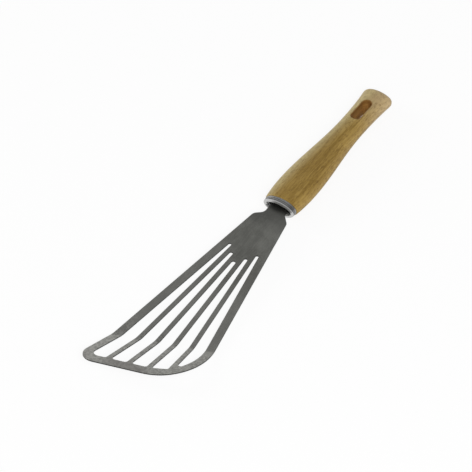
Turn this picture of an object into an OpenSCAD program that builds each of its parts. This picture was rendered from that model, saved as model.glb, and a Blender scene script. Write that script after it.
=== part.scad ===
/* [Blade] */
// Thickness of the steel sheet
sheet = 1; // [0.8:0.1:1.4]
// Length of the blade along its middle, from the collar's front to the end edge
blade_length = 188; // [184:1:196]
// Width of each of the four inner bars
bar_width = 3.5; // [3:0.1:4]
// Width of the two side frames
side_width = 6.2; // [5.5:0.1:7]
// Width of the rim between the slots and the end edge
rim_width = 7.9; // [7:0.1:9]
// Angle in degrees between neighbouring bars
fan_step = 3.68; // [3.55:0.01:3.8]
// Distance behind the collar's front of the point that the bars fan out from
fan_reach = 43; // [41:0.5:45]
// Distance from the collar's front to the start of the middle slot
slot_start = 57.8; // [52:0.1:64]
// How much nearer to the handle each outer slot starts
slot_stagger = 6; // [4:0.5:7]

/* [Tip] */
// Distance along the middle from the collar's front to the tip's bend
bend_distance = 146; // [142:0.5:150]
// Slant in degrees of the bend across the blade
bend_slant = 17.6; // [14:0.1:20]
// Angle in degrees that the tip is turned up by
bend_angle = 17.4; // [10:0.1:22]
// Radius of the bend at the middle of the sheet
bend_radius = 14; // [8:0.5:18]
// Slant in degrees of the end edge
end_slant = 13.4; // [10:0.1:16]
// Radius of the tip's sharper corner
long_corner = 10; // [8:0.5:12]
// Radius of the broad corner where it leaves the side
broad_corner = 45; // [42:1:48]
// Radius of the broad corner where it meets the end edge
end_corner = 33; // [30:1:35]

/* [Neck and tang] */
// Width of the neck
neck_width = 14.2; // [13:0.1:15]
// Angle in degrees that the blade is turned down by from the handle
neck_angle = 3.7; // [2:0.1:5]
// Width of the tang inside the handle
tang_width = 11; // [9:0.5:12]
// Distance from the collar's front to the tang's end
tang_reach = 80; // [60:1:86]
// Diameter of the two holes that lock the tang in its resin
key_hole = 5; // [4:0.5:6]

/* [Ferrule] */
// Width of the collar where it meets the wood
collar_width = 26; // [25.4:0.1:26.4]
// Height of the collar where it meets the wood
collar_height = 14.2; // [13.6:0.1:14.4]
// Length of the collar in front of the wood
collar_length = 4.6; // [4:0.1:5.5]
// How much narrower and lower the collar is at its front
collar_taper = 0.4; // [0.2:0.1:1]
// Width of the dish in the collar's front
dish_width = 22; // [20:0.1:22.4]
// Height of the dish
dish_height = 9; // [8:0.1:10]
// Depth of the dish, from its lip to the mouth
dish_depth = 2.4; // [1:0.1:3]
// Width of the mouth that the neck leaves
mouth_width = 18.2; // [17:0.1:19]
// Height of the mouth
mouth_height = 4.8; // [4.5:0.1:6]
// Distance from the collar's front to the face of the resin
resin_depth = 3.4; // [3:0.1:5]
// Length of the hidden sleeve inside the wood
sleeve_length = 10; // [8:0.5:14]
// Thickness of the sleeve's wall
sleeve_wall = 1; // [0.8:0.1:1.2]

/* [Handle] */
// Distance from the collar's front to the butt
handle_reach = 142.6; // [140:0.1:150]
// Width of the wood at the ferrule
front_width = 27.2; // [26.8:0.1:28]
// Width of the wood at its bulge
bulge_width = 30.4; // [29:0.1:32]
// Width of the wood at its waist
waist_width = 19.8; // [18.5:0.1:21]
// Width of the wood at its butt
butt_width = 25.4; // [23:0.1:27]
// Thickness of the wood at the ferrule
front_height = 15.4; // [15:0.1:16]
// Thickness of the wood at its bulge
bulge_height = 17; // [16:0.1:18]
// Thickness of the wood at its waist
waist_height = 16.2; // [15.5:0.1:17.5]
// Thickness of the wood at its butt
butt_height = 13.8; // [13:0.1:17]
// Distance from the collar's front to the bulge
bulge_place = 26; // [24:1:30]
// Distance from the collar's front to the waist
waist_place = 102.6; // [100:0.1:108]
// Length of the hanging slot
hang_length = 22.6; // [18:0.1:24]
// Width of the hanging slot
hang_width = 7.2; // [6.5:0.1:8]
// Distance from the collar's front to the middle of the hanging slot
hang_place = 114.6; // [112:0.1:118]

/* [Hidden] */
$fn = 64;

// Five slots fan out, counted from the middle one, and a side frame stands half a step past the outer ones
slots = 5;
outer_slot = (slots - 1) / 2;
side_ray = slots / 2;
// Largest gap between a round outline and the chords that draw it
chord_gap = 0.02;
// Margin by which cutting shapes run past what they cut
over = 1;

// Sheet pattern: points are [distance from the collar's front to the tip, distance to the left, towards +Y]
// Distance behind the collar's front of the line on which the neck turns down from the tang
hinge = 9;
// Distance behind the collar's front to which the neck keeps its width
neck_root = 6;
side_angle = side_ray * fan_step;
side_offset = side_width - bar_width / 2;
neck_half = neck_width / 2;
neck_fillet = 5;
right_shoulder = 2.2;
right_shoulder_angle = 42;
right_shoulder_round = 3.5;
left_shoulder = 7.2;
left_shoulder_angle = 53;
left_shoulder_round = 5;
// Direction in degrees of the outline where the broad corner's two arcs meet
broad_turn = 38;
// Direction in degrees of the outer slot's pointed end
point_turn = 22;
point_round = 1.7;
// Direction in degrees of the rim at the end of the slot beside the outer one
rim_turn = 28;
// Rounding of each slot's left and right end corners, from the right slot to the left one
end_rounds = [[point_round, point_round], [1.5, 2], [2, 2], [2.2, 2], [4.2, 2]];

function turned(angle) = [cos(angle), sin(angle)];
function unit(v) = v / norm(v);
function direction(v) = atan2(v.y, v.x);
function wrapped(angle) = angle - 360 * floor((angle + 180) / 360);
function without_first(list) = [for (k = [1:len(list) - 1]) list[k]];
function backwards(list) = [for (k = [len(list) - 1:-1:0]) list[k]];

// A line is a point and an angle, and it moves sideways to its own left
function shifted(line, gap) = [line[0] + gap * turned(line[1] + 90), line[1]];

// Meeting point of two lines
function meet(first, second) =
    let (
        along = turned(first[1]),
        across = turned(second[1] + 90)
    )
    first[0] + along * ((second[0] - first[0]) * across) / (along * across);

// Points of an arc, close enough together for its radius
function arc(centre, radius, from, to) =
    let (steps = ceil(abs(to - from) / (2 * acos(1 - chord_gap / radius))))
    [for (k = [0:steps]) centre + radius * turned(from + (to - from) * k / steps)];

// Points that round the corner b of the path a, b, c
function fillet(a, b, c, radius) =
    let (
        u = unit(a - b),
        v = unit(c - b),
        half = acos(u * v) / 2,
        reach = radius / tan(half),
        centre = b + unit(u + v) * radius / sin(half),
        from = direction(b + u * reach - centre),
        sweep = wrapped(direction(b + v * reach - centre) - from)
    )
    arc(centre, radius, from, from + sweep);

// Ray of the fan, counted from the middle to the left, and moved to the left by a gap
function ray(count, gap) = shifted([[-fan_reach, 0], count * fan_step], gap);

left_side = ray(side_ray, side_offset);
right_side = ray(-side_ray, -side_offset);
end_edge = [[blade_length, 0], 90 - end_slant];
rim_edge = shifted(end_edge, rim_width);
far_corner = meet(left_side, end_edge);
right_foot = [right_shoulder, -neck_half];
right_top = meet([right_foot, -right_shoulder_angle], right_side);
left_foot = [left_shoulder, neck_half];
left_top = meet([left_foot, left_shoulder_angle], left_side);

// Centres of the two arcs that make the broad corner, one inside the other's curve
centre_step = (broad_corner - end_corner) * turned(broad_turn - 90);
side_arc_path = shifted(right_side, broad_corner);
end_centre = meet(
    [side_arc_path[0] + centre_step, side_arc_path[1]],
    shifted(end_edge, end_corner)
);
side_centre = end_centre - centre_step;

blade_outline = concat(
    [[-over, -neck_half]],
    fillet([0, -neck_half], right_foot, right_top, neck_fillet),
    fillet(right_foot, right_top, meet(right_side, end_edge), right_shoulder_round),
    arc(side_centre, broad_corner, -90 - side_angle, broad_turn - 90),
    without_first(arc(end_centre, end_corner, broad_turn - 90, -end_slant)),
    fillet(meet(right_side, end_edge), far_corner, left_top, long_corner),
    fillet(far_corner, left_top, left_foot, left_shoulder_round),
    fillet(left_top, left_foot, [0, neck_half], neck_fillet),
    [[-over, neck_half]]
);

// Round start of a slot, from its left edge to its right one
function slot_top(count) =
    let (
        half_step = fan_step / 2,
        top = fan_reach + slot_start - slot_stagger * abs(count),
        reach = (top - bar_width / 2) / (1 - sin(half_step)),
        radius = reach * sin(half_step) - bar_width / 2,
        angle = count * fan_step
    )
    arc([-fan_reach, 0] + reach * turned(angle), radius, angle + half_step + 90, angle - half_step + 270);

// Line that closes a slot at the tip
function slot_end(count) =
    count >= 0 ? rim_edge :
    count > -outer_slot ? [end_centre + (end_corner - rim_width) * turned(-rim_turn), 90 - rim_turn] :
    [side_centre + (broad_corner - side_width) * turned(point_turn - 90), point_turn];

// Outline of the slot that is so many slots to the left of the middle one
function slot(count) =
    let (
        left = ray(count + 0.5, -bar_width / 2),
        right = ray(count - 0.5, bar_width / 2),
        end = slot_end(count),
        top = slot_top(count),
        left_end = meet(left, end),
        right_end = meet(right, end),
        rounds = end_rounds[count + outer_slot],
        sweep = arc(side_centre, broad_corner - side_width, -90 - side_angle, point_turn - 90)
    )
    concat(
        top,
        count == -outer_slot ? sweep : fillet(top[len(top) - 1], right_end, left_end, rounds[1]),
        fillet(count == -outer_slot ? end[0] : right_end, left_end, top[0], rounds[0])
    );

// How far a pattern point lies beyond the tip's bend, and how far to the left along it
bend_middle = bend_angle / 2;
function beyond_bend(point) = (point - [bend_distance, 0]) * turned(-bend_slant);
function along_bend(point) = (point - [bend_distance, 0]) * turned(90 - bend_slant);

// Place of a pattern point in the bend's frame, seen square to the middle of the bend
function cut_point(point) = [-beyond_bend(point) * cos(bend_middle), along_bend(point)];

// Place of a pattern point of the bent sheet, in the handle's frame
function raised(point) =
    let (
        beyond = max(beyond_bend(point), 0),
        drawn_in = point - beyond * (1 - cos(bend_angle)) * turned(-bend_slant)
    )
    dipped([-drawn_in.x, drawn_in.y, beyond * sin(bend_angle)]);

// Place in the handle's frame of a point given in the flat blade's frame
function dipped(point) = [
    hinge + (point.x - hinge) * cos(neck_angle) - point.z * sin(neck_angle),
    point.y,
    (point.x - hinge) * sin(neck_angle) + point.z * cos(neck_angle)
];

bend_tangent = bend_radius * tan(bend_middle);
bend_steps = 6;

// One face of the bent sheet seen from the side, so far outside the sheet's middle
function ribbon_side(outside) =
    let (
        centre = [bend_tangent, bend_radius],
        radius = bend_radius + outside,
        turns = [for (k = [0:bend_steps]) -90 - bend_angle * k / bend_steps]
    )
    concat(
        [[ribbon_length, -outside]],
        [for (turn = turns) centre + radius * turned(turn)],
        [centre + radius * turned(-90 - bend_angle) + ribbon_length * turned(180 - bend_angle)]
    );

bend_corner = meet(left_side, [[bend_distance, 0], 90 - bend_slant]);
bend_centre = dipped([bend_tangent * cos(bend_slant) - bend_corner.x, bend_corner.y, bend_radius]);
raised_outline = [for (point = blade_outline) raised(point)];
tip_reach = min([for (point = raised_outline) point.x]);
left_reach = max([for (point = raised_outline) point.y]);
right_reach = min([for (point = raised_outline) point.y]);

// Handle: half sizes along its length
front_round = 0.6;
butt_round = 5.2;
butt_crown = 0.7;
// Shares of the butt's flat end at which its slight crown is drawn
crown_rings = [0.6, 0.25];
// Power of the flare's curve
flare = 2.2;
// Powers of the ovals: 2 is a plain one, and a higher one is squarer
outer_power = 2;
mouth_power = 2.6;
// Points round each oval, and rings along the wood and round its ends
around = 36;
body_rings = 34;
round_rings = 4;
body_start = collar_length + front_round;
butt_start = handle_reach - butt_crown - butt_round;

// A half size that swells to the bulge, narrows to the waist and flares to the butt
function along_handle(x, front, bulge, waist, butt) =
    x < bulge_place
        ? bulge - (bulge - front) * pow((bulge_place - x) / (bulge_place - collar_length), 2)
        : x < waist_place
            ? waist + (bulge - waist) * (1 + cos(180 * (x - bulge_place) / (waist_place - bulge_place))) / 2
            : waist + (butt - waist) * pow((x - waist_place) / (handle_reach - waist_place), flare);
function half_width(x) = along_handle(x, front_width, bulge_width, waist_width, butt_width) / 2;
function half_height(x) = along_handle(x, front_height, bulge_height, waist_height, butt_height) / 2;

// Points of an oval with the given half sizes
function swelled(value, power) = sign(value) * pow(abs(value), 2 / power);
function oval(width, height, power) = [
    for (k = [0:around - 1])
        let (angle = 360 * (k + 0.5) / around)
        [width * swelled(cos(angle), power), height * swelled(sin(angle), power)]
];
function outer_ring(x, width, height) = [
    for (point = oval(width, height, outer_power)) [x, point.x, point.y]
];
function handle_ring(x, inset) = outer_ring(x, half_width(x) - inset, half_height(x) - inset);
body_places = [for (k = [0:body_rings]) body_start + (butt_start - body_start) * k / body_rings];

handle_rings = concat(
    [
        for (k = [0:round_rings - 1])
            let (angle = 90 * k / round_rings)
            handle_ring(
                collar_length + front_round * (1 - cos(angle)),
                front_round * (1 - sin(angle))
            )
    ],
    [for (x = body_places) handle_ring(x, 0)],
    [
        for (k = [1:round_rings])
            let (angle = 90 * k / round_rings)
            handle_ring(butt_start + butt_round * sin(angle), butt_round * (1 - cos(angle)))
    ],
    [
        for (part = crown_rings)
            let (x = handle_reach - butt_crown * part * part)
            outer_ring(x, part * (half_width(x) - butt_round), part * (half_height(x) - butt_round))
    ]
);

// Collar: dished front, rounded lip, two turned grooves, and the sleeve behind them
lip_round = 0.8;
dish_steps = 3;
groove_depth = 0.25;
groove_half = 0.3;
groove_floor = 0.1;
groove_places = [1.5, 2.7];
sleeve_end = collar_length + sleeve_length;
sleeve_width = mouth_width + 2 * sleeve_wall;
sleeve_height = mouth_height + 2 * sleeve_wall;
function mouth_ring(x, width, height) = [
    for (point = oval(width / 2, height / 2, mouth_power)) [x, point.x, point.y]
];
function collar_ring(x, inset) =
    let (taper = collar_taper * (1 - x / collar_length))
    outer_ring(x, (collar_width - taper) / 2 - inset, (collar_height - taper) / 2 - inset);
dish_lip = outer_ring(0, dish_width / 2, dish_height / 2);
dish_floor = mouth_ring(dish_depth, mouth_width, mouth_height);
ferrule_rings = concat(
    [for (k = [dish_steps:-1:0]) dish_lip + (dish_floor - dish_lip) * k / dish_steps],
    [
        for (k = [0:round_rings])
            let (angle = 90 * k / round_rings)
            collar_ring(lip_round * (1 - cos(angle)), lip_round * (1 - sin(angle)))
    ],
    [
        for (place = groove_places)
            each [
                collar_ring(place - groove_half, 0),
                collar_ring(place - groove_floor, groove_depth),
                collar_ring(place + groove_floor, groove_depth),
                collar_ring(place + groove_half, 0)
            ]
    ],
    [
        collar_ring(collar_length, 0),
        mouth_ring(collar_length, sleeve_width, sleeve_height),
        mouth_ring(sleeve_end, sleeve_width, sleeve_height),
        mouth_ring(sleeve_end, mouth_width, mouth_height)
    ]
);

// Tang seen from the side, as [along, up] from the hinge, and its mortise
neck_normal = turned(90 + neck_angle);
neck_stub = neck_root - hinge - over;
hinge_mitre = turned(90 + neck_angle / 2) / cos(neck_angle / 2);
tang_profile = [
    for (face = [-1, 1])
        let (
            half = face * sheet / 2,
            path = [
                neck_stub * turned(neck_angle) + half * neck_normal,
                half * hinge_mitre,
                [tang_reach - hinge, half]
            ]
        )
        each face > 0 ? path : [path[2], path[1], path[0]]
];
key_places = [36, 62];
mortise_gap = 3;
mortise_clearance = 1;
mortise_width = tang_width + 2 * mortise_clearance;
mortise_height = 4.4;
// Sizes of the endless sheet and of the cutters, larger than any blade
ribbon_length = 220;
ribbon_width = 140;
cut_height = 90;

// Rest: the tip's bend and the lowest part of the wood touch the surface
bend_outside = bend_radius + sheet / 2;
rest_tilt = min([
    for (x = body_places)
        asin((bend_outside - bend_centre.z - half_height(x)) / (x - bend_centre.x))
]);
rest_lift = bend_outside + bend_centre.x * sin(rest_tilt) - bend_centre.z * cos(rest_tilt);
rest_middle = [tip_reach + handle_reach, left_reach + right_reach] / 2;

module at_rest() {
    translate([-rest_middle.x, -rest_middle.y, rest_lift])
        rotate([0, rest_tilt, 0])
            children();
}

// Triangles between each ring of points and the next, for so many bands of a skin
function band_faces(rings, bands) =
    let (
        sides = len(rings[0]),
        points = sides * len(rings)
    )
    [
        for (r = [0:bands - 1], k = [0:sides - 1])
            let (
                a = r * sides + k,
                b = r * sides + (k + 1) % sides,
                c = (a + sides) % points,
                d = (b + sides) % points
            )
            each [[a, c, b], [b, c, d]]
    ];

// Solid skin through rings of points, each ring turning the same way
module skin(rings) {
    sides = len(rings[0]);
    last = len(rings) - 1;
    polyhedron(
        points = [for (ring = rings) each ring],
        faces = concat(
            [[for (k = [0:sides - 1]) k]],
            band_faces(rings, last),
            [[for (k = [sides - 1:-1:0]) last * sides + k]]
        )
    );
}

// Hollow skin, whose last ring is joined to the first one
module hollow_skin(rings) {
    polyhedron(
        points = [for (ring = rings) each ring],
        faces = band_faces(rings, len(rings))
    );
}

// Straight bar with the mouth's oval section, between two distances from the collar's front
module mouth_bar(width, height, from, to) {
    translate([from, 0, 0])
        rotate([90, 0, 90])
            linear_extrude(height = to - from)
                polygon(oval(width / 2, height / 2, mouth_power));
}

// Endless sheet with the tip's bend, in the bend's own frame
module bent_ribbon() {
    rotate([90, 0, 0])
        linear_extrude(height = ribbon_width, center = true)
            polygon(concat(ribbon_side(sheet / 2), backwards(ribbon_side(-sheet / 2))));
}

// Cutting prism of a pattern outline, square to the middle of the bend
module pattern_prism(outline) {
    rotate([0, bend_middle, 0])
        translate([0, 0, -cut_height / 2])
            linear_extrude(height = cut_height)
                polygon([for (point = outline) cut_point(point)]);
}

// Neck, fan of bars and turned-up tip, as far back as the collar's front, in the hinge's frame
module fan() {
    intersection() {
        translate([-hinge - bend_distance, 0, 0])
            rotate([0, 0, bend_slant])
                difference() {
                    intersection() {
                        bent_ribbon();
                        pattern_prism(blade_outline);
                    }
                    for (count = [-outer_slot:outer_slot])
                        pattern_prism(slot(count));
                }
        translate([-hinge - ribbon_length, -ribbon_width / 2, -cut_height / 2])
            cube([ribbon_length, ribbon_width, cut_height]);
    }
}

// Part of the neck that stands inside the ferrule, in the hinge's frame
module root() {
    translate([-hinge - over, -neck_half, -sheet / 2])
        cube([neck_root + over, neck_width, sheet]);
}

// Tang with its locking holes, in the hinge's frame
module tang() {
    difference() {
        translate([0, tang_width / 2, 0])
            rotate([90, 0, 0])
                linear_extrude(height = tang_width)
                    polygon(tang_profile);
        for (place = key_places)
            translate([place - hinge, 0, 0])
                cylinder(d = key_hole, h = sheet + 2 * over, center = true);
    }
}

module blade_sheet() {
    translate([hinge, 0, 0]) {
        rotate([0, -neck_angle, 0]) {
            fan();
            root();
        }
        tang();
    }
}

module blade() {
    color("dimgray")
        at_rest()
            blade_sheet();
}

// Turned collar whose front is dished to the mouth, with a thin sleeve that goes into the wood
module ferrule() {
    color("silver")
        at_rest()
            hollow_skin(ferrule_rings);
}

// Wooden handle with the sleeve's seat, the tang's mortise and the hanging slot
module handle() {
    color("burlywood")
        at_rest()
            difference() {
                skin(handle_rings);
                mouth_bar(sleeve_width, sleeve_height, collar_length - over, sleeve_end);
                mortise(sleeve_end - over);
                hanging_slot();
            }
}

module mortise(from) {
    translate([from, -mortise_width / 2, -mortise_height / 2])
        cube([tang_reach + mortise_gap - from, mortise_width, mortise_height]);
}

module hanging_slot() {
    straight = hang_length - hang_width;
    translate([hang_place, 0, 0]) {
        cube([straight, hang_width, 2 * butt_height], center = true);
        for (side = [-1, 1])
            translate([side * straight / 2, 0, 0])
                cylinder(d = hang_width, h = 2 * butt_height, center = true);
    }
}

// Cured resin that fills the sleeve and the mortise round the tang
module tang_resin() {
    color("darkslategray")
        at_rest()
            difference() {
                union() {
                    mouth_bar(mouth_width, mouth_height, resin_depth, sleeve_end);
                    mortise(sleeve_end);
                }
                blade_sheet();
            }
}

blade();
ferrule();
handle();
tang_resin();
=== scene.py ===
import math

import bpy
from mathutils import Matrix, Vector


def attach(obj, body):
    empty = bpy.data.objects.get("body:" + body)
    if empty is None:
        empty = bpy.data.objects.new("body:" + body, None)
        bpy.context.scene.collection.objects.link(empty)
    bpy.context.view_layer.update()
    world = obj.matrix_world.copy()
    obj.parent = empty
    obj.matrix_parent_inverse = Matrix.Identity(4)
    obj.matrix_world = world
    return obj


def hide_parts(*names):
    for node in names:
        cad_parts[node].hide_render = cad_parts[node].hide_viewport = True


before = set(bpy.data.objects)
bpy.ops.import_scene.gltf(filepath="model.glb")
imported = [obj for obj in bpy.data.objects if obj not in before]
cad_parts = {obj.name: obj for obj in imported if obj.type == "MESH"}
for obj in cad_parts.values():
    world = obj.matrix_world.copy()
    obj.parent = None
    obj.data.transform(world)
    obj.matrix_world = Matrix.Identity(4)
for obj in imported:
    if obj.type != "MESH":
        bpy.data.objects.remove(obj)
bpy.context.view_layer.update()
mm = 0.001

# Blade: one sheet of carbon steel, 1 mm thick, with its neck and its hidden tang in one piece. The
# outline and the slots are punched, the tip is pressed up along a slanting line, and tumbling
# rounds every edge and leaves a dark satin skin, which is scuffed paler at the tip.
def work_on(piece):
    """Makes one object the only selected one, and the active one."""
    bpy.ops.object.select_all(action="DESELECT")
    piece.select_set(True)
    bpy.context.view_layer.objects.active = piece


def finish_with(piece, kind, **settings):
    """Adds a modifier with these settings and applies it."""
    work_on(piece)
    modifier = piece.modifiers.new(kind.lower(), kind)
    for name, value in settings.items():
        setattr(modifier, name, value)
    bpy.ops.object.modifier_apply(modifier=modifier.name)


class Wire:
    """An output of a material's node, which takes part in sums and feeds other nodes."""

    def __init__(self, socket):
        self.socket = socket
        self.tree = socket.id_data

    def node(self, kind, inputs, settings=(), output=0):
        """A new node of this kind: its settings first, then values or wires for its inputs."""
        new = self.tree.nodes.new(kind)
        for name, value in dict(settings).items():
            setattr(new, name, value)
        for name, value in inputs.items():
            if isinstance(value, Wire):
                self.tree.links.new(value.socket, new.inputs[name])
            else:
                new.inputs[name].default_value = value
        return Wire(new.outputs[output])

    def into(self, socket):
        self.tree.links.new(self.socket, socket)

    def maths(self, operation, *values):
        return self.node("ShaderNodeMath", dict(enumerate(values)), {"operation": operation})

    def __add__(self, other):
        return self.maths("ADD", self, other)

    __radd__ = __add__

    def __sub__(self, other):
        return self.maths("SUBTRACT", self, other)

    def __rsub__(self, other):
        return self.maths("SUBTRACT", other, self)

    def __mul__(self, other):
        return self.maths("MULTIPLY", self, other)

    __rmul__ = __mul__

    def __pow__(self, other):
        return self.maths("POWER", self, other)

    def between(self, low, high):
        """0 below low, 1 above high, with a soft step between them."""
        return self.node(
            "ShaderNodeMapRange",
            {"Value": self, "From Min": low, "From Max": high},
            {"interpolation_type": "SMOOTHSTEP"},
        )

    def unsigned(self):
        """A number without its sign."""
        return self.maths("ABSOLUTE", self)

    def length(self):
        """The length of a vector."""
        return self.node("ShaderNodeVectorMath", {0: self}, {"operation": "LENGTH"}, output=1)

    def stretched(self, scale, move=(0, 0, 0)):
        """Places multiplied by these scales, then moved."""
        return self.node("ShaderNodeMapping", {"Vector": self, "Scale": scale, "Location": move})

    def part(self, axis):
        """The x, y or z of a vector, for an axis of 0, 1 or 2."""
        return self.node("ShaderNodeSeparateXYZ", {"Vector": self}, output=axis)

    def noise(self, scale, detail=2.0, roughness=0.5):
        """Cloudy noise from 0 to 1, mostly near a half."""
        return self.node(
            "ShaderNodeTexNoise",
            {"Vector": self, "Scale": scale, "Detail": detail, "Roughness": roughness},
        )

    def mixed(self, first, second):
        """A mix of two colours, with this value as the share of the second."""
        wire = self.node("ShaderNodeMix", {"Factor": self}, {"data_type": "RGBA"}, output=2)
        mix = wire.socket.node
        for socket, colour in ((mix.inputs[6], first), (mix.inputs[7], second)):
            if isinstance(colour, Wire):
                colour.into(socket)
            else:
                socket.default_value = (*colour, 1)
        return wire

    def bump(self, depth, strength):
        """A normal for this height, in shares of a depth in metres."""
        inputs = {"Height": self, "Distance": depth, "Strength": strength}
        return self.node("ShaderNodeBump", inputs)


def new_finish(name, piece):
    """A new material on a piece, in place of its others: its shader, and places in mm."""
    material = bpy.data.materials.new(name)
    material.use_nodes = True
    nodes = material.node_tree.nodes
    piece.data.materials.clear()
    piece.data.materials.append(material)
    place = Wire(nodes.new("ShaderNodeTexCoord").outputs["Object"])
    return nodes["Principled BSDF"], place.stretched((1 / mm, 1 / mm, 1 / mm))


same_corner = 0.1 * mm
edge_round = 0.2 * mm
blade = bpy.data.objects.new("blade_sheet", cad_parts["blade"].data.copy())
bpy.context.scene.collection.objects.link(blade)
work_on(blade)
bpy.ops.object.mode_set(mode="EDIT")
bpy.ops.mesh.select_all(action="SELECT")
bpy.ops.mesh.remove_doubles(threshold=same_corner)
bpy.ops.mesh.dissolve_limited(angle_limit=math.radians(0.5))
bpy.ops.object.mode_set(mode="OBJECT")
finish_with(
    blade,
    "BEVEL",
    width=edge_round,
    segments=3,
    angle_limit=math.radians(45),
    use_clamp_overlap=False,
)
bpy.ops.object.shade_smooth_by_angle(angle=math.radians(35))
finish_with(blade, "WEIGHTED_NORMAL", keep_sharp=True)

neck_along, bars_along, bend_along = (0, 20), (-20, -95), (-104, -124)
worn_across = (8, 36)
stain_place, stain_reach = (-159.17, 4.44), (8.33, 22.2)
dark_skin, light_skin = (0.27, 0.272, 0.25), (0.455, 0.458, 0.424)
bar_sheen, neck_shade = (0.52, 0.52, 0.485), (0.13, 0.13, 0.125)
worn_bright, stain_brown = (0.66, 0.66, 0.62), (0.25, 0.23, 0.22)
scuff_light, scuff_dark = (0.57, 0.562, 0.525), (0.225, 0.22, 0.206)
painted_edge_shade = (0.03, 0.03, 0.028)
steel, place = new_finish("satin_steel", blade)
lengthwise, sideways = place.part(0), place.part(1)
cloud = place.noise(0.03, detail=2.0)
mottle = place.noise(0.16, detail=3.0, roughness=0.6)
sand = place.noise(1.1, detail=2.0, roughness=0.65)
drawn = place.stretched((0.05, 1.6, 1.6)).noise(1.0, detail=2.0)
tipward = lengthwise.between(*bend_along)
steel_shade = 0.4 * cloud + 0.2 * mottle + 0.2 * sand + 0.2 * drawn + 0.2 * tipward * (sand - 0.5)
steel_colour = steel_shade.between(0.36, 0.64).mixed(dark_skin, light_skin)
on_bars = lengthwise.between(*bars_along)
steel_colour = (0.45 * on_bars).mixed(steel_colour, bar_sheen)
on_neck = lengthwise.between(*neck_along)
steel_colour = (0.45 * on_neck).mixed(steel_colour, neck_shade)
worn = tipward * sideways.between(*worn_across) * (0.3 + mottle)
steel_colour = (0.5 * worn).mixed(steel_colour, worn_bright)
scuffs = place.noise(0.42, detail=4.0, roughness=0.75).between(0.42, 0.6)
steel_colour = (0.5 * tipward).mixed(steel_colour, scuffs.mixed(scuff_light, scuff_dark))
from_stain = place.stretched(
    (1 / stain_reach[0], 1 / stain_reach[1], 0),
    move=(-stain_place[0] / stain_reach[0], -stain_place[1] / stain_reach[1], 0),
)
stain = 1 - from_stain.length().between(0.4, 1.1)
steel_colour = (0.5 * stain).mixed(steel_colour, stain_brown)
# Painted shade: faces that stand on edge, the sheet's cut sides and its bevels, are painted nearly
# black for the dark surroundings they reflect.
facing = place.node("ShaderNodeNewGeometry", {}, output=1).part(2)
shaded_edge = 1 - facing.unsigned().between(0.62, 0.97)
steel_colour = (0.95 * shaded_edge).mixed(steel_colour, painted_edge_shade)
steel_colour.into(steel.inputs["Base Color"])
(0.22 + 0.14 * mottle + 0.12 * sand).into(steel.inputs["Roughness"])
(0.6 * sand + 0.4 * drawn).bump(0.02 * mm, 0.35).into(steel.inputs["Normal"])
steel.inputs["Metallic"].default_value = 1.0
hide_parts("blade")
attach(blade, "root")

# Resin: epoxy poured round the tang, which cures in the sleeve and in the handle's mortise and
# holds the blade without a rivet. Only its dark front shows, inside the ferrule's mouth.
resin_black, resin_brown = (0.006, 0.005, 0.005), (0.02, 0.018, 0.016)
resin_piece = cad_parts["tang_resin"]
resin, place = new_finish("cured_resin", resin_piece)
clouding = place.noise(0.35, detail=3.0)
clouding.between(0.35, 0.65).mixed(resin_black, resin_brown).into(resin.inputs["Base Color"])
(0.35 + 0.25 * clouding).into(resin.inputs["Roughness"])
place.noise(0.8, detail=2.0).bump(0.15 * mm, 0.5).into(resin.inputs["Normal"])

# Ferrule: a thick oval aluminium collar, turned bright, with a rounded lip and two fine grooves
# whose insides are painted dark as shade. Its front falls back to the rim and is dished to the
# flat mouth that the neck leaves, and a thin sleeve behind it is glued into the wood.
oval_sides = 96
rest_place = (25.6268, -3.5808, 9.347)
rest_tilt = math.radians(0.66406)
at_rest = Matrix.Translation(Vector(rest_place) * mm) @ Matrix.Rotation(rest_tilt, 4, "Y")


def oval(place, half_width, half_height, power=2):
    """Points of an oval across the handle, plain for a power of 2 and squarer above it."""
    ring = []
    for step in range(oval_sides):
        angle = math.tau * (step + 0.5) / oval_sides
        across = math.copysign(abs(math.cos(angle)) ** (2 / power), math.cos(angle))
        up = math.copysign(abs(math.sin(angle)) ** (2 / power), math.sin(angle))
        ring.append(Vector((place, half_width * across, half_height * up)) * mm)
    return ring


same_spot = 0.004 * mm


def skin_over(name, rings, closed_start=False):
    """Extrudes a circle once for each ring of points, then lays each corner on its point."""
    bpy.ops.object.select_all(action="DESELECT")
    bpy.ops.mesh.primitive_circle_add(
        vertices=len(rings[0]), radius=1, fill_type="NGON" if closed_start else "NOTHING"
    )
    piece = bpy.context.object
    piece.name = piece.data.name = name
    bpy.ops.object.mode_set(mode="EDIT")
    for _ in rings[1:]:
        bpy.ops.mesh.extrude_region_move(TRANSFORM_OT_translate={"value": (0, 0, 1)})
    bpy.ops.object.mode_set(mode="OBJECT")
    corners = sorted(
        piece.data.vertices,
        key=lambda corner: (
            round(corner.co.z),
            (math.atan2(corner.co.y, corner.co.x) + 0.001) % math.tau,
        ),
    )
    for corner, spot in zip(corners, (spot for ring in rings for spot in ring)):
        corner.co = spot
    bpy.ops.object.mode_set(mode="EDIT")
    bpy.ops.mesh.select_all(action="SELECT")
    bpy.ops.mesh.remove_doubles(threshold=same_spot)
    bpy.ops.mesh.normals_make_consistent(inside=False)
    bpy.ops.object.mode_set(mode="OBJECT")
    return piece


def set_down(piece):
    """Lays a piece made along the handle where the spatula rests, with its place in its mesh."""
    piece.matrix_world = at_rest
    work_on(piece)
    bpy.ops.object.transform_apply()


collar_length = 4.6
collar_half = (13.0, 7.1)
collar_taper = 0.2
lip_round = 0.8
lip_back = 0.45
lip_length = 0.65
dish_half = (11.0, 4.5)
dish_depth = 2.4
mouth_half = (9.1, 2.4)
mouth_power = 2.6
mouth_round = 0.15
dish_lip_back, dish_lip_out = 0.03, 0.12
back_edge_along, back_edge_in = 0.12, 0.1
sleeve_wall = 1.0
sleeve_end = 14.6
groove_places = (1.5, 2.7)
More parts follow.
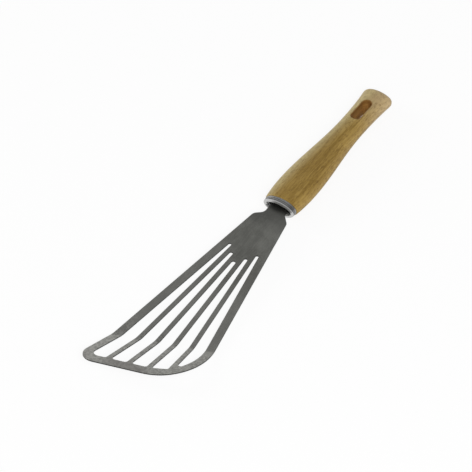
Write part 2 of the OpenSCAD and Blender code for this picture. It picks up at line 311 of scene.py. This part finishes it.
# Places along the collar from a groove's middle, with its depth at each.
groove_profile = (
    (-0.34, 0),
    (-0.26, 0.06),
    (-0.12, 0.23),
    (0, 0.25),
    (0.12, 0.23),
    (0.26, 0.06),
    (0.34, 0),
)


def collar_ring(place, inset=0.0):
    taper = collar_taper * (1 - place / collar_length)
    return oval(place, collar_half[0] - taper - inset, collar_half[1] - taper - inset)


def mouth_ring(place, outset=0.0):
    return oval(place, mouth_half[0] + outset, mouth_half[1] + outset, mouth_power)


def dish_ring(share):
    """A ring on the dish's straight slope, from its lip at 0 to the mouth at 1."""
    lip = oval(0, *dish_half)
    floor = mouth_ring(dish_depth)
    return [outer.lerp(inner, share) for outer, inner in zip(lip, floor)]


turns = [math.radians(15 * step) for step in range(7)]
ferrule_rings = [
    mouth_ring(sleeve_end),
    mouth_ring(dish_depth + mouth_round),
    mouth_ring(dish_depth + 0.3 * mouth_round, 0.3 * mouth_round),
]
ferrule_rings += [dish_ring(share) for share in (0.9, 0.7, 0.5, 0.3, 0.15, 0.05)]
ferrule_rings += [oval(dish_lip_back, *(half + dish_lip_out for half in dish_half))]
ferrule_rings += [
    collar_ring(lip_back + lip_length * (1 - math.cos(turn)), lip_round * (1 - math.sin(turn)))
    for turn in turns[1:]
]
ferrule_rings += [
    collar_ring(groove + along, depth)
    for groove in groove_places
    for along, depth in groove_profile
]
ferrule_rings += [
    collar_ring(collar_length - back_edge_along),
    collar_ring(collar_length, back_edge_in),
    mouth_ring(collar_length, sleeve_wall),
    mouth_ring(sleeve_end, sleeve_wall),
    mouth_ring(sleeve_end),
]
ferrule = skin_over("ferrule_collar", ferrule_rings)
set_down(ferrule)
bpy.ops.object.shade_smooth_by_angle(angle=math.radians(50))
finish_with(ferrule, "WEIGHTED_NORMAL", keep_sharp=True)

bright_low, bright_high = (0.5, 0.5, 0.495), (0.62, 0.62, 0.61)
shaded_band_grey, groove_shade_black = (0.2, 0.2, 0.2), (0.06, 0.06, 0.06)
band_shade_across, band_shade_along, groove_shade_across = (5, 12), (0.6, 1.4), (0.15, 0.45)
bright, place = new_finish("turned_aluminium", ferrule)
turning = place.stretched((6.0, 0.12, 0.12)).noise(1.0, detail=2.0)
handling = place.noise(0.25, detail=3.0)
polish = (0.6 * turning + 0.4 * handling).between(0.3, 0.7)
bright_colour = polish.mixed(bright_low, bright_high)
from_front, from_middle = place.part(0) - rest_place[0], place.part(1) - rest_place[1]
# Painted shade: the band behind the lip is painted darker away from its middle, towards both ends,
# for the dark surroundings it reflects there.
band_shade = from_middle.unsigned().between(*band_shade_across) * from_front.between(*band_shade_along)
bright_colour = (0.75 * band_shade).mixed(bright_colour, shaded_band_grey)
# Painted shade: a dark line is painted along each groove, where shade falls in its hollow.
for groove in groove_places:
    groove_shade = 1 - (from_front - groove).unsigned().between(*groove_shade_across)
    bright_colour = (0.75 * groove_shade).mixed(bright_colour, groove_shade_black)
bright_colour.into(bright.inputs["Base Color"])
(0.17 + 0.1 * turning + 0.08 * handling).into(bright.inputs["Roughness"])
turning.bump(0.015 * mm, 0.35).into(bright.inputs["Normal"])
bright.inputs["Metallic"].default_value = 1.0
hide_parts("ferrule")
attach(ferrule, "root")

# Handle: one piece of beech, turned and shaped to a full oval that swells in the palm, narrows and
# flares to its butt, then sanded and waxed. A slot routed through it near the butt hangs it up.
handle_reach = 142.6
bulge_place = 26.0
waist_place = 102.6
flare = 2.2
half_widths = (13.6, 15.2, 9.9, 12.7)
half_heights = (7.7, 8.5, 8.1, 6.9)
front_round = 0.6
butt_round = 5.2
butt_crown = 0.7
butt_start = handle_reach - butt_crown - butt_round


def along_handle(place, halves):
    """A half size that swells from the front to the bulge, narrows to the waist and flares."""
    front, bulge, waist, butt = halves
    if place < bulge_place:
        share = (bulge_place - place) / (bulge_place - collar_length)
        return bulge - (bulge - front) * share**2
    if place < waist_place:
        share = (place - bulge_place) / (waist_place - bulge_place)
        return waist + (bulge - waist) * (1 + math.cos(math.pi * share)) / 2
    share = (place - waist_place) / (handle_reach - waist_place)
    return waist + (butt - waist) * share**flare


def wood_ring(place, inset=0.0, part=1.0):
    return oval(
        place,
        part * (along_handle(place, half_widths) - inset),
        part * (along_handle(place, half_heights) - inset),
    )


wood_rings = [mouth_ring(sleeve_end, sleeve_wall), mouth_ring(collar_length, sleeve_wall)]
for turn in turns:
    back, inset = front_round * (1 - math.cos(turn)), front_round * (1 - math.sin(turn))
    wood_rings.append(wood_ring(collar_length + back, inset))
body_start = collar_length + front_round
body_steps = 68
wood_rings += [
    wood_ring(body_start + (butt_start - body_start) * step / body_steps)
    for step in range(1, body_steps + 1)
]
wood_rings += [
    wood_ring(butt_start + butt_round * math.sin(turn), butt_round * (1 - math.cos(turn)))
    for turn in (math.radians(9 * step) for step in range(1, 11))
]
wood_rings += [
    wood_ring(handle_reach - butt_crown * part**2, butt_round, part)
    for part in (0.8, 0.6, 0.42, 0.25)
]
butt_end = sum(wood_rings[-1], Vector()) / oval_sides
wood_rings.append([butt_end] * oval_sides)
wood = skin_over("beech_handle", wood_rings, closed_start=True)

hang_place = 114.6
hang_straight = 7.7
hang_radius = 3.6
hang_sides = 64
rim_round = 1.0
rim_turns = [math.radians(angle) for angle in (0, 15, 30, 45, 60, 72)]
cutter_spread = (0.6, 0.8)
cutter_rise = 0.2
cutter_top = 4.0


def wood_top(place, across):
    """Height of the handle's upper face above its middle."""
    share = across / along_handle(place, half_widths)
    return along_handle(place, half_heights) * math.sqrt(1 - share**2)


def router_ring(widening, depth, side):
    """Points round the slot, so much wider than it and so deep below the face on one side."""
    ring = []
    for step in range(hang_sides):
        angle = math.tau * (step + 0.5) / hang_sides
        middle = math.copysign(hang_straight, math.cos(angle))
        along = hang_place + middle + (hang_radius + widening) * math.cos(angle)
        across = (hang_radius + widening) * math.sin(angle)
        ring.append(Vector((along, across, side * (wood_top(along, across) - depth))) * mm)
    return ring


cutter_levels = []
for side, order in ((-1, -1), (1, 1)):
    levels = [
        (rim_round * (1 - math.cos(turn)), rim_round * (1 - math.sin(turn))) for turn in rim_turns
    ]
    rim_width, rim_depth = levels[-1]
    levels += [
        (rim_width + cutter_spread[0], rim_depth - cutter_rise),
        (rim_width + cutter_spread[1], -cutter_top),
    ]
    cutter_levels += [router_ring(*level, side) for level in levels][::order]

router = skin_over("router", cutter_levels, closed_start=True)

mortise_start, mortise_end = sleeve_end - 1, 83.0
mortise_width, mortise_height = 13.0, 4.4
bpy.ops.object.select_all(action="DESELECT")
bpy.ops.mesh.primitive_cube_add(size=1, location=((mortise_start + mortise_end) / 2 * mm, 0, 0))
chisel = bpy.context.object
chisel.scale = Vector((mortise_end - mortise_start, mortise_width, mortise_height)) * mm
bpy.ops.object.transform_apply()

for tool in (router, chisel):
    finish_with(wood, "BOOLEAN", object=tool, solver="EXACT")
    bpy.data.objects.remove(tool)
set_down(wood)
bpy.ops.object.shade_smooth_by_angle(angle=math.radians(40))
finish_with(wood, "WEIGHTED_NORMAL", keep_sharp=True)

heart_dark, heart_light = (0.215, 0.13, 0.025), (0.375, 0.25, 0.068)
pale_side_sheen, butt_pale = (0.5, 0.4, 0.18), (0.56, 0.43, 0.25)
fleck_brown, pore_brown, rim_dark_brown = (0.11, 0.054, 0.011), (0.11, 0.056, 0.012), (0.12, 0.05, 0.008)
routed_dark, routed_light = (0.34, 0.16, 0.038), (0.66, 0.36, 0.1)
slot_shade = (0.13, 0.055, 0.01)
side_sheen_across, butt_along, slot_upward = (7, 19), (120, 168), (8, 14)
routed_edge, dark_rim_reach = (0.1, 0.25), (0.2, 1.0)
beech, place = new_finish("waxed_beech", wood)
lengthwise, sideways, upward = place.part(0), place.part(1), place.part(2)
fibre = place.stretched((0.06, 1.6, 1.6)).noise(1.0, detail=3.0, roughness=0.65)
drift = place.stretched((0.015, 0.07, 0.09)).noise(1.0, detail=2.0)
streaks = place.stretched((0.02, 0.5, 0.5)).noise(1.0, detail=3.0, roughness=0.6)
tone = (0.35 * drift + 0.35 * streaks + 0.3 * fibre).between(0.38, 0.62)
# Painted sheen: the handle's +Y side is painted paler, with a wavy edge, standing in for the waxed
# wood's grazing reflection of bright surroundings.
side_sheen = (sideways + 0.08 * lengthwise + 6 * drift + 4 * streaks).between(*side_sheen_across)
wood_colour = side_sheen.mixed(tone.mixed(heart_dark, heart_light), pale_side_sheen)
paler_end = lengthwise.between(*butt_along) * (1 - 0.7 * side_sheen)
wood_colour = (0.7 * paler_end).mixed(wood_colour, butt_pale)
cells = place.stretched((0.26, 1.7, 1.7))
fleck = 1 - cells.node("ShaderNodeTexVoronoi", {"Vector": cells, "Scale": 1.0}).between(0.16, 0.36)
pores = place.stretched((0.16, 3.2, 3.2)).noise(1.0, detail=1.0).between(0.54, 0.7)
wood_colour = (0.66 * fleck).mixed(wood_colour, fleck_brown)
wood_colour = (0.6 * pores).mixed(wood_colour, pore_brown)
from_slot = lengthwise - (rest_place[0] + hang_place * math.cos(rest_tilt))
past = from_slot.unsigned() - hang_straight
past = past.maths("MAXIMUM", past, 0.0)
across = sideways - rest_place[1]
from_wall = (past * past + across * across) ** 0.5 - hang_radius
# Darker brown on the face round the slot, within about a millimetre of its wall.
dark_rim = 1 - from_wall.between(*dark_rim_reach)
wood_colour = (0.8 * dark_rim).mixed(wood_colour, rim_dark_brown)
routed = 1 - from_wall.between(*routed_edge)
routed_tone = (0.5 * streaks + 0.5 * fibre).between(0.36, 0.64)
wood_colour = (0.85 * routed).mixed(wood_colour, routed_tone.mixed(routed_dark, routed_light))
near_rim = upward.between(*slot_upward)
wood_colour = (0.75 * routed * near_rim).mixed(wood_colour, slot_shade)
wood_colour.into(beech.inputs["Base Color"])
(0.42 + 0.12 * fibre + 0.1 * fleck + 0.3 * routed).into(beech.inputs["Roughness"])
beech.inputs["Specular IOR Level"].default_value = 0.3
(fibre - 0.5 * pores - 0.3 * fleck).bump(0.05 * mm, 0.3).into(beech.inputs["Normal"])
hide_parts("handle")
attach(wood, "root")

# Studio: a wide white floor that keeps the spatula's soft shadow, a dome that is white where a
# backdrop would stand and grey higher up, and two soft panels.
floor_size = 6
floor_white = (0.96, 0.96, 0.96, 1)
glow_share = 0.87
horizon, overhead = 0.16, 0.42
dome_white, dome_grey = (1.0, 1.0, 1.0), (0.32, 0.32, 0.32)
bpy.ops.object.select_all(action="DESELECT")
bpy.ops.mesh.primitive_plane_add(size=floor_size)
floor = bpy.context.object
floor.name = "studio_floor"
paint = bpy.data.materials.new("white_floor")
paint.use_nodes = True
floor.data.materials.append(paint)
nodes = paint.node_tree.nodes
output = nodes["Material Output"]
nodes.remove(nodes["Principled BSDF"])
rays = nodes.new("ShaderNodeLightPath").outputs
seen = (
    Wire(rays["Is Camera Ray"]) + Wire(rays["Is Glossy Ray"]) + Wire(rays["Is Transmission Ray"])
)
lit = seen.node("ShaderNodeBsdfDiffuse", {"Color": floor_white})
glow = seen.node("ShaderNodeEmission", {"Color": (1, 1, 1, 1), "Strength": 1.0})
seen.node("ShaderNodeMixShader", {0: glow_share * seen, 1: lit, 2: glow}).into(
    output.inputs["Surface"]
)

world = bpy.data.worlds.new("pale_dome")
bpy.context.scene.world = world
world.use_nodes = True
nodes = world.node_tree.nodes
sky = nodes["Background"]
sky.inputs["Strength"].default_value = 1.0
dome = (
    Wire(nodes.new("ShaderNodeTexCoord").outputs["Generated"])
    .part(2)
    .between(horizon, overhead)
    .mixed(dome_white, dome_grey)
)
Wire(nodes.new("ShaderNodeLightPath").outputs["Is Camera Ray"]).mixed(dome, (1, 1, 1)).into(
    sky.inputs["Color"]
)


def soft_panel(name, spot, size, watts):
    """A square lamp that faces the middle of the spatula."""
    lamp = bpy.data.lights.new(name, "AREA")
    lamp.size = size
    lamp.energy = watts
    panel = bpy.data.objects.new(name, lamp)
    panel.location = spot
    panel.rotation_euler = Vector(spot).to_track_quat("Z", "Y").to_euler()
    panel.visible_glossy = False
    bpy.context.scene.collection.objects.link(panel)


soft_panel("key_panel", (-1.6, -1.6, 2.26), 2.0, 76.0)
soft_panel("side_panel", (-0.4, 2.9, 0.9), 1.4, 30.0)

# Camera: a long lens that stands high in front of the tip, off to the side of its rounder corner,
# at the photograph's viewing angle.
camera_data = bpy.data.cameras.new("camera")
camera_data.lens = 264.83
camera = bpy.data.objects.new("camera", camera_data)
camera.location = (-1.44957, -0.9442, 1.79549)
around, height, roll = (math.radians(angle) for angle in (-56.478, 46.032, -0.872))
camera.rotation_euler = (
    Matrix.Rotation(around, 3, "Z")
    @ Matrix.Rotation(math.pi / 2 - height, 3, "X")
    @ Matrix.Rotation(roll, 3, "Z")
).to_euler()
bpy.context.scene.collection.objects.link(camera)
bpy.context.scene.camera = camera
bpy.context.scene.view_settings.view_transform = "Standard"
